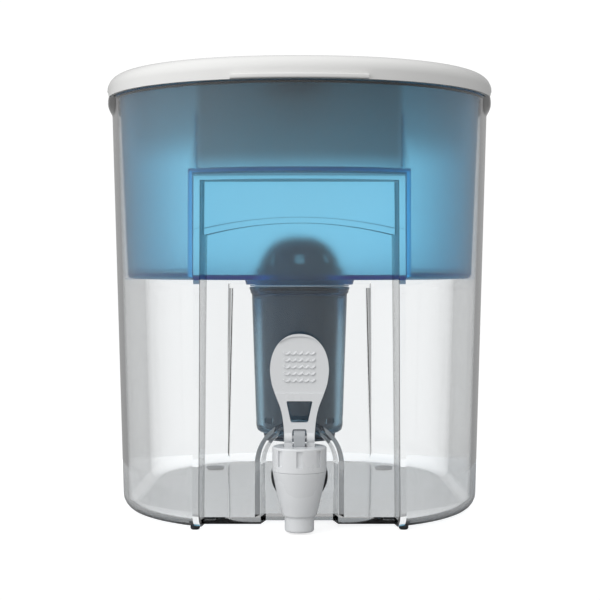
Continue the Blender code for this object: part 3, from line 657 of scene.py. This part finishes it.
bonnet_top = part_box("spigot_bonnet")[1].z / mm
bonnet = lathe("fluted_bonnet", [
    (0, bonnet_top), (13.9, bonnet_top), (14.45, bonnet_top - 0.6), (14.45, 33.42), (10.8, 33.42),
    (10.8, 30.5), (9.6, 30.5), (9.6, 43.4), (0, 43.4)], (0, spigot_y, 0), 0.35, 96, closed=False)
flutes = round_about(8, -pi / 2, lambda turn: turned_block(
    (3 * mm, 3.1 * mm, 8.6 * mm), 14.85 * mm, (0, spigot_y, 40.7 * mm), turn))
carve(bonnet, flutes)
above_bonnet = 0.05
carve(bonnet, [block("foot_pocket", (-8.5 * mm, spigot_y - 5 * mm, 44.7 * mm),
                     (8.5 * mm, spigot_y + 5 * mm, above_bonnet)),
               block("stem_hole", (-3.4 * mm, spigot_y - 4.4 * mm, 0.04),
                     (3.4 * mm, spigot_y + 4.4 * mm, above_bonnet))])
soften(bonnet, 0.25 * mm, segments=2, angle=50)
finish_piece(bonnet, spigot_white, "base", "spigot_plastic", "spigot_bonnet")


# -------------------------------------------------------------------------------- valve parts
# A grey stem lifts the silicone plug off its seat, and a steel spring under the bonnet pushes
# it back down. The lever hangs on the stem's square head.
stem_grey = moulded("stem_grey", (0.43, 0.45, 0.47), 0.36, spread=0.07, grain=600, bump=0.06)
silicone = moulded("milky_silicone", (0.70, 0.72, 0.72), 0.48, spread=0.1, grain=500, bump=0.08)
steel = moulded("spring_steel", (0.62, 0.63, 0.65), 0.28, spread=0.1, grain=260, bump=0.12,
                metal=1.0, stretch=(1, 1, 9))


def refinish(node_name, look):
    """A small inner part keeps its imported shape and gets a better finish."""
    nodes[node_name].data.materials.clear()
    nodes[node_name].data.materials.append(look)


stem = lathe("lift_stem", [
    (0, 42.5), (2.6, 42.5), (2.6, 20.3), (6.8, 20.3), (6.8, 18.3), (2.6, 18.3),
    (2.6, 14.6), (0, 14.6)], (0, spigot_y, 0), 0.25, 48, closed=False)
pivot_z = 51 * mm
pin_radius = 1.55 * mm
arch = [(4 * cos(pi * i / 24), 51 + 4 * sin(pi * i / 24)) for i in range(25)]
head_outline = [(-4, 41.5), (4, 41.5), *arch]
head = solid("stem_head", loft("stem_head", [
    [(x * mm, spigot_y + y * mm, z * mm) for y, z in head_outline] for x in (-3.05, 3.05)]))
carve(stem, [head], "UNION")
carve(stem, [tube("stem_eye", pin_radius, (-6 * mm, spigot_y, pivot_z),
                  (6 * mm, spigot_y, pivot_z), 32)])
soften(stem, 0.3 * mm, segments=2, angle=50)
finish_piece(stem, stem_grey, "stem", "stem_plastic", "valve_stem")
plug_profile = [(6.6, 18), (6.6, 15.2), (4.2, 11.9), (0.01, 11.9), (0.01, 14.3), (2.9, 14.3),
                (2.9, 18)]
plug = lathe("seat_plug", plug_profile, (0, spigot_y, 0), 0.4, 64)
finish_piece(plug, silicone, "stem", "silicone", "valve_plug")
refinish("lever_pin", steel)
nodes["lever_pin"].data.shade_smooth()
spring = solid("coil_spring", nodes["valve_spring"].data.copy())
spring.data.shade_smooth()
finish_piece(spring, steel, "base", "steel", "valve_spring")
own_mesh(spring)


# -------------------------------------------------------------------------------------- lever
# The lever is a flat white paddle with five wavy grip ridges. Its face is dished, which leaves
# a raised border along the top and runs out at both flanks. Its two legs straddle the stem's
# head on a steel pin, and a window opens above them.
lever_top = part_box("lever")[1].z / mm
thick = 3.6
outline = []
for i in range(25):
    turn = pi / 2 * (1 - i / 24)
    outline.append((15.6 * cos(turn) ** (2 / 2.2), 86 + (lever_top - 86) * sin(turn) ** (2 / 2.2)))
edge_line = [(14.8, 80), (13.3, 75.2), (11.6, 70.8), (10.1, 66.8), (8.9, 61.4), (8.3, 56), (8.1, 51)]
anchor = [(15.6, 86)] + edge_line + [(8.1, 48)]
for i in range(len(anchor) - 2):
    p0 = Vector(anchor[max(0, i - 1)])
    p1, p2, p3 = Vector(anchor[i]), Vector(anchor[i + 1]), Vector(anchor[i + 2])
    for k in (1, 2, 3, 4):
        t = k / 4
        point = 0.5 * (2 * p1 + (p2 - p0) * t + (2 * p0 - 5 * p1 + 4 * p2 - p3) * t * t
                       + (3 * p1 - p0 - 3 * p2 + p3) * t ** 3)
        outline.append(tuple(point))
outline += [(8.1, 46.2), (7.0, 45.1), (4.6, 45.1), (3.75, 46), (3.75, 54.6), (3.2, 55.5)]
outline += [(-x, z) for x, z in reversed(outline) if x > 0.01]


def slab(name, points, y_low, y_high):
    """A flat plate from an (x, z) outline in millimetres, between two depths from the axis."""
    rings = [[(x * mm, spigot_y + y * mm, z * mm) for x, z in points] for y in (y_low, y_high)]
    return solid(name, loft(name, rings))


def drawn_down(points, by):
    """The paddle's outline drawn in along its top and let out at its flanks."""
    result = []
    count = len(points)
    for i in range(count):
        ahead, behind = Vector(points[(i + 1) % count]), Vector(points[i - 1])
        along = (ahead - behind).normalized()
        result.append((points[i][0] - along.y * by, points[i][1] - along.x * by))
    return result


paddle = slab("lever_paddle", outline, -thick / 2, thick / 2)
border, dish_foot, dish_depth = 1.25, 73.5, 0.7
dish = [p for p in drawn_down(outline, border) if p[1] > dish_foot]
carve(paddle, [slab("paddle_dish", dish, -thick, -thick / 2 + dish_depth)])
window = rounded([(-7, 70.4), (7, 70.4), (4.55, 59), (-4.55, 59)], 1.0, steps=5)
carve(paddle, [slab("lever_window", [tuple(p) for p in window], -5, 5)])
for side in (-1, 1):
    ends = [(side * x * mm, spigot_y, pivot_z) for x in (3.9, 7.95)]
    carve(paddle, [tube("pivot_boss", 3.1 * mm, *ends, 40)], "UNION")
carve(paddle, [tube("lever_eye", pin_radius, (-12 * mm, spigot_y, pivot_z),
                    (12 * mm, spigot_y, pivot_z), 32)])
soften(paddle, 0.4 * mm, segments=3, angle=45)
finish_piece(paddle, spigot_white, "lever", "spigot_plastic", "lever")

for row in range(5):
    line = bpy.data.curves.new("grip_ridge", "CURVE")
    line.dimensions = "3D"
    line.bevel_depth = 0.6 * mm
    line.bevel_resolution = 3
    line.use_fill_caps = True
    spline = line.splines.new("POLY")
    scallops, fine = 5, 12
    spline.points.add(scallops * fine)
    for i, point in enumerate(spline.points):
        share = i / (scallops * fine)
        x = (share * 2 - 1) * 8.3
        z = 96.3 - 3.6 * row - 1.2 * abs(sin(pi * share * scallops)) ** 0.8
        point.co = (x * mm, spigot_y - (thick / 2 - 0.62) * mm, z * mm, 1)
    ridge = bpy.data.objects.new("grip_ridge_curve", line)
    scene.collection.objects.link(ridge)
    mesh = bpy.data.meshes.new_from_object(
        ridge.evaluated_get(bpy.context.evaluated_depsgraph_get()))
    bpy.data.objects.remove(ridge)
    ridge = solid("grip_ridge_" + str(row + 1), mesh)
    finish_piece(smooth(ridge, 60), spigot_white, "lever", "spigot_plastic")


# ----------------------------------------------------------------------------------- rim seal
# A thin black rubber gasket lies on the ledge just inside the reservoir's rim, and the
# hopper's flange rests on it.
def hoop(name, section):
    """A closed band round the oval, from the (inset, height) corners of its section."""
    shape = bmesh.new()
    loops = [[shape.verts.new(p) for p in oval(inset * mm, z * mm)] for inset, z in section]
    count = len(loops[0])
    for k, loop in enumerate(loops):
        other = loops[(k + 1) % len(loops)]
        for i in range(count):
            j = (i + 1) % count
            shape.faces.new((loop[i], loop[j], other[j], other[i]))
    bmesh.ops.recalc_face_normals(shape, faces=shape.faces)
    mesh = bpy.data.meshes.new(name)
    shape.to_mesh(mesh)
    shape.free()
    return smooth(solid(name, mesh), 40)


seal_section = rounded([(1.8, 236.9), (1.8, 237.9), (3.9, 237.9), (3.9, 236.9)], 0.3)
finish_piece(hoop("rim_gasket", seal_section), rubber, "base", "rubber", "rim_seal")


# ------------------------------------------------------------------------------------- hopper
# The hopper is the upper tank, a blue translucent moulding with a frosted face. Its flange
# hangs on the seal, its flat floor carries the filter, and its front steps round the recess.
hopper_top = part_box("hopper")[1].z / mm
collar_foot_z, middle_inset = 131.7, 48.8
top_inset, low_inset, hopper_wall = 4.6, 8.9, 2.2
section = [(middle_inset, 134.3), (30, 134.5), (18, 134.8), (low_inset + 2.6, 135.1),
           (low_inset + 1.1, 135.55), (low_inset + 0.3, 136.4), (low_inset, 137.6),
           (top_inset, 238.3), (1.9, 238.3), (1.9, 240.8),
           (top_inset, 240.8), (top_inset, hopper_top - 0.4), (top_inset + 0.4, hopper_top)]
tank = solid("blue_hopper", loft("blue_hopper", [oval(i * mm, z * mm) for i, z in section]))
section = [(middle_inset, 136.9), (30, 137.1), (18, 137.5), (low_inset + 4.2, 138.1),
           (low_inset + 2.9, 139.2), (low_inset + 2.3, 141), (top_inset + 2.2, 238.3),
           (top_inset + 2.2, 260)]
tank_room = solid("hopper_room", loft("hopper_room", [oval(i * mm, z * mm) for i, z in section]))
clearance = 1.2 * mm


def square_step(grow):
    """The square-topped step that clears the whole front recess."""
    top = recess_top + grow
    outline = [(-1, cutter_low), (1, cutter_low), (1, top), (-1, top)]
    rings = [[(share * recess_half(depth - grow, z, grow), front + depth, z)
              for share, z in outline] for depth in (-20 * mm, arch_setback + grow)]
    return solid("square_step", loft("square_step", rings))


carve(tank_room, [square_step(wall + clearance + hopper_wall * mm)])
rib_half = 0.8 * mm
ribs = [block("stiffening_rib", (side * 54 * mm - rib_half, front, recess_top),
              (side * 54 * mm + rib_half, front + 26 * mm, 222 * mm)) for side in (-1, 1)]
carve(tank_room, ribs)
carve(tank, [square_step(wall + clearance)])
carve(tank, [tank_room], own=True)
collar = lathe("filter_collar", [
    (24, 135.8), (31.5, 135.8), (30.5, collar_foot_z), (24, collar_foot_z)],
    (0, filter_y, 0), 0.4, 96)
carve(tank, [collar], "UNION")
carve(tank, [tube("filter_hole", 25.8 * mm, (0, filter_y, 126 * mm),
                  (0, filter_y, 144 * mm), 96)])
soften(tank, 0.45 * mm, segments=2)
blue_frosted = moulded("blue_frosted", (0.60, 0.885, 1.0), 0.32, spread=0.03, grain=1800,
                       bump=0.06, tint=0.02, clear=1.0, ior=1.38, lets_light=True)


def dyed(look, kept, thickness):
    """Colours clear plastic right through: kept is the light left after a thickness."""
    tree = look.node_tree
    dye = tree.nodes.new("ShaderNodeVolumeAbsorption")
    strongest = max(-log(share) / thickness for share in kept) * 1.15
    dye.inputs["Density"].default_value = strongest
    passed = [1 + log(share) / thickness / strongest for share in kept]
    dye.inputs["Color"].default_value = (*passed, 1)
    tree.links.new(dye.outputs[0], tree.nodes["Material Output"].inputs["Volume"])


dyed(blue_frosted, (0.79, 0.94, 0.99), 2.2 * mm)
tree, shader, place = workings(blue_frosted)
spot = tree.nodes.new("ShaderNodeSeparateXYZ")
tree.links.new(place, spot.inputs[0])


def fade(value, start, end, low=0.0, high=1.0):
    """A smooth step of the painted shade and the extra frosting between two places on the hopper."""
    step = tree.nodes.new("ShaderNodeMapRange")
    step.interpolation_type = "SMOOTHSTEP"
    limits = {"From Min": start, "From Max": end, "To Min": low, "To Max": high}
    for socket, number in limits.items():
        step.inputs[socket].default_value = number
    tree.links.new(value, step.inputs["Value"])
    return step.outputs["Result"]


# Painted shade: the hopper's upper front, most of all between the ribs, is darkened towards slate to stand
# for the lid's shadow seen through the wall. The same band is also made rougher, which is real frosting.
across = sums(tree, "ABSOLUTE", spot.outputs["X"], 0)
between_ribs = sums(tree, "MULTIPLY", fade(across, 0.060, 0.050),
                    fade(spot.outputs["Z"], 0.187, 0.203, high=0.78))
beside_ribs = fade(spot.outputs["Z"], 0.194, 0.216, high=0.40)
band = sums(tree, "MULTIPLY", sums(tree, "MAXIMUM", between_ribs, beside_ribs),
            fade(spot.outputs["Y"], front + 62 * mm, front + 40 * mm))
# This mix paints that shade into the base colour. It is not the plastic's own tint.
painted_lid_shade = tree.nodes.new("ShaderNodeMix")
painted_lid_shade.data_type = "RGBA"
painted_lid_shade.inputs["B"].default_value = (0.13, 0.15, 0.17, 1)
tree.links.new(shader.inputs["Base Color"].links[0].from_socket, painted_lid_shade.inputs["A"])
tree.links.new(band, painted_lid_shade.inputs["Factor"])
tree.links.new(painted_lid_shade.outputs["Result"], shader.inputs["Base Color"])
tree.links.new(sums(tree, "ADD", shader.inputs["Roughness"].links[0].from_socket,
                    sums(tree, "MULTIPLY", band, 0.30)), shader.inputs["Roughness"])
finish_piece(tank, blue_frosted, "hopper", "blue_plastic", "hopper")


# ------------------------------------------------------------------------------ filter sleeve
# The sleeve is a blue tube that hangs through the hopper's floor. A silicone ring seals its
# flange from below, and slots round its foot let the filtered water out.
blue_tube = moulded("blue_sleeve", (0.74, 0.86, 0.92), 0.20, spread=0.05, grain=900, bump=0.05,
                    tint=0.03, clear=1.0, ior=1.42, lets_light=True)
dyed(blue_tube, (0.62, 0.78, 0.86), 3 * mm)
tube_profile = [(25.4, 137.4), (25.4, 130.4), (28.5, 130.4), (28.5, 129), (28.0, 128.4), (28.0, 127),
                (27.2, 126.6), (24.7, 51.5), (24.0, 49), (22.4, 47.8), (21.2, 47.8), (21.2, 49.4),
                (22.8, 50.2), (23.7, 52), (26.0, 125.6), (24.2, 127.4), (24.2, 137.4)]
sleeve = lathe("filter_tube", tube_profile, (0, filter_y, 0), 0.4, 96)
carve(sleeve, round_about(8, -pi / 2, lambda turn: turned_block(
    (12 * mm, 6.2 * mm, 2.9 * mm), 24 * mm, (0, filter_y, 55.4 * mm), turn)))
smooth(sleeve, 38)
finish_piece(sleeve, blue_tube, "hopper", "blue_plastic", "filter_sleeve")
ring = lathe("sleeve_ring", [(28.3, 131.4), (28.3, 130.7), (26.0, 130.7), (26.0, 131.4)],
             (0, filter_y, 0), 0.3, 72)
finish_piece(ring, silicone, "hopper", "silicone", "sleeve_seal")


# ----------------------------------------------------------------------------- filter cartridge
# The cartridge is a dark plastic can full of carbon granules, with a vented dome on top, a
# perforated foot and an O-ring that seals it in the sleeve.
can_blue = moulded("cartridge_shell", (0.045, 0.062, 0.085), 0.42, spread=0.08, grain=650,
                   bump=0.08, tint=0.08)
can_profile = [(23.6, 136.8), (23.4, 131.1), (22.9, 131.1), (22.9, 128.9), (23.3, 128.9),
               (23.3, 127.2), (22.3, 126.2), (20.9, 57), (20.4, 51.5), (20.4, 45.6), (18.6, 45.6),
               (18.6, 52.5), (20.0, 58), (21.6, 124), (22.0, 136.8)]
finish_piece(lathe("cartridge_can", can_profile, (0, filter_y, 0), 0.35, 80), can_blue,
             "filter", "filter_plastic", "filter_housing")
foot = lathe("cartridge_foot", [
    (0, 52), (18.2, 52), (18.2, 45.3), (20.2, 45.3), (20.2, 43.8), (0, 43.8)],
    (0, filter_y, 0), 0.35, 72, closed=False)
holes = []
for count, hole_radius, ring_radius, first in ((8, 2.6, 12, pi / 8), (6, 1.7, 6.2, 0)):
    for i in range(count):
        turn = first + 2 * pi * i / count
        x, y = ring_radius * mm * cos(turn), filter_y + ring_radius * mm * sin(turn)
        holes.append(tube("outlet_hole", hole_radius * mm, (x, y, 40 * mm), (x, y, 56 * mm), 20))
carve(foot, holes)
smooth(foot, 38)
finish_piece(foot, can_blue, "filter", "filter_plastic", "filter_grille")
cap_profile = [(3, 159), (9, 158.2), (16, 154.6), (21.2, 148), (23.2, 141.6), (25.2, 141.2), (25.2, 137.7),
               (23.8, 137.7), (23.8, 137.1), (21.4, 137.1), (21.4, 141.4), (19.4, 147),
               (14.8, 152.6),
               (8, 156), (3, 156.6)]
dome = lathe("cartridge_dome", cap_profile, (0, filter_y, 0), 1.2, 80)
carve(dome, round_about(8, 0, lambda turn: turned_block(
    (9 * mm, 4.2 * mm, 4.4 * mm), 21.5 * mm, (0, filter_y, 146 * mm), turn)))
smooth(dome, 38)
finish_piece(dome, can_blue, "filter", "filter_plastic", "filter_cap")
o_ring = lathe("cartridge_o_ring", [(23.85, 130.0), (23.5, 130.75), (23.15, 130.0), (23.5, 129.25)],
               (0, filter_y, 0), 0.3, 72)
finish_piece(o_ring, rubber, "filter", "rubber", "filter_o_ring")
refinish("filter_media", moulded("carbon_granules", (0.012, 0.012, 0.013), 0.85, spread=0.12,
                                 grain=900, bump=0.9, tint=0.4))


# -------------------------------------------------------------------------- filter-life indicator
# A small dark box clips under the lid and holds a coin cell, a circuit board and a lamp. A
# blue button on top of the lid resets it, with the lamp's lens just in front.
box_shell = moulded("indicator_shell", (0.030, 0.034, 0.085), 0.40, spread=0.08, grain=700,
                    bump=0.08, tint=0.08)
box_low, box_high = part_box("indicator_housing")
box_wall = 1.6 * mm
indicator_y = front + 80 * mm
lamp_y = indicator_y - 9 * mm
shell = block("indicator_shell", box_low, box_high)
cave = block("indicator_room", (box_low.x + box_wall, box_low.y + box_wall, box_low.z - mm),
             (box_high.x - box_wall, box_high.y - box_wall, box_high.z - box_wall))
soften(shell, 1.4 * mm, segments=4)
guides = [tube(name, radius * mm, (0, y, box_high.z - 4 * mm), (0, y, box_high.z + mm), 32)
          for name, radius, y in (("button_guide", 2.6, indicator_y), ("lens_guide", 2.5, lamp_y))]
carve(shell, [cave, *guides])
smooth(shell, 38)
finish_piece(shell, box_shell, "lid", "indicator_plastic", "indicator_housing")
cover_low, cover_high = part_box("battery_cover")
cover = block("cell_cover", cover_low, cover_high)
grips = [block("cover_groove", (-6 * mm, cover_low.y + (5 + 2.2 * i) * mm, cover_low.z - mm),
               (6 * mm, cover_low.y + (6 + 2.2 * i) * mm, cover_low.z + 0.4 * mm)) for i in range(4)]
carve(cover, grips)
soften(cover, 0.4 * mm, segments=3)
finish_piece(cover, box_shell, "lid", "indicator_plastic", "battery_cover")
refinish("indicator_board", moulded("circuit_board", (0.02, 0.14, 0.06), 0.42, spread=0.1,
                                    grain=1200, bump=0.1, tint=0.15))
refinish("coin_cell", moulded("cell_steel", (0.70, 0.70, 0.69), 0.22, spread=0.08, grain=900,
                              bump=0.06, metal=1.0))
button_blue = moulded("button_blue", (0.08, 0.20, 0.52), 0.30, spread=0.05, grain=700, bump=0.04)
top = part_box("indicator_button")[1].z / mm
button = lathe("reset_button", [
    (0, top - 0.25), (3.6, top - 0.1), (5, top), (6, top - 0.6), (6, top - 2.4),
    (2.2, top - 2.4), (2.2, 242.2), (0, 242.2)], (0, indicator_y, 0), 0.4, 64, closed=False)
finish_piece(button, button_blue, "button", "button_plastic", "indicator_button")
lens_clear = moulded("lamp_lens", (0.80, 0.93, 0.84), 0.10, spread=0.04, grain=300, bump=0.03,
                     clear=0.85)
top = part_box("indicator_lens")[1].z / mm
lens = lathe("lamp_lens", [(0, top), (1.5, top - 0.15), (2.2, top - 0.7), (2.2, 242), (0, 242)],
             (0, lamp_y, 0), 0.3, 40, closed=False)
finish_piece(lens, lens_clear, "lid", "lens", "indicator_lens")


# ---------------------------------------------------------------------------------------- lid
# The lid is a glossy white cap over the hopper and the reservoir's rim, with a finger lip in
# front and relieved sides that leave the grips free.
lid_low, lid_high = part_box("lid")
lid_outset, lid_wall, lid_round = 2.6, 2.2, 8.2
skirt_z, lid_top, crown = lid_low.z / mm, 251.2, 0.4


def lid_rings(low, outset, radius, top):
    """The lid's outside or inside: a skirt, a round shoulder and a slightly crowned top."""
    rings = [oval(-outset * mm, low * mm)]
    for i in range(13):
        turn = pi / 2 * i / 12
        rings.append(oval((-outset + radius * (1 - cos(turn))) * mm,
                          (top - radius * (1 - sin(turn))) * mm))
    for inset in (18, 30, 50, 70, 88):
        rings.append(oval(inset * mm, (top + crown * sin(pi / 2 * min(1, inset / 70))) * mm))
    return rings


cap = solid("white_lid", loft("white_lid", lid_rings(skirt_z, lid_outset, lid_round, lid_top)))
lip_out, lip_high = 5.0, skirt_z + 2.5
lip_section = rounded([(0.5, skirt_z), (-lip_out, skirt_z), (-lip_out, lip_high),
                       (0.5, lip_high)], 0.9, steps=4)
lip = hoop("finger_lip", lip_section)
span = block("lip_span", (-36 * mm, front - 12 * mm, (skirt_z - 2) * mm),
             (36 * mm, front + 18 * mm, (lip_high + 2) * mm))
carve(lip, [span], "INTERSECT")
carve(cap, [lip], "UNION")
tools = [solid("lid_room", loft("lid_room", lid_rings(
    skirt_z - 5, lid_outset - lid_wall, lid_round - lid_wall, lid_top - lid_wall)))]
for side in (-1, 1):
    outline = [(-74, skirt_z - 2), (74, skirt_z - 2), (74, skirt_z), (71, skirt_z + 1.2),
               (67, 243.1), (-67, 243.1), (-71, skirt_z + 1.2), (-74, skirt_z)]
    tools.append(solid("grip_relief", loft("grip_relief", [
        [(side * x, centre_y + y * mm, z * mm) for y, z in outline] for x in (0.085, 0.125)])))
tools.append(tube("button_hole", 6.4 * mm, (0, indicator_y, 0.24), (0, indicator_y, 0.256), 64))
tools.append(tube("lens_hole", 2.5 * mm, (0, lamp_y, 0.24), (0, lamp_y, 0.256), 40))
carve(cap, tools)
soften(cap, 0.5 * mm, segments=3)
white_gloss = moulded("white_gloss", (0.80, 0.80, 0.79), 0.20, spread=0.05, grain=420,
                      bump=0.03, tint=0.008, coat=0.25)
finish_piece(cap, white_gloss, "lid", "lid_plastic", "lid")
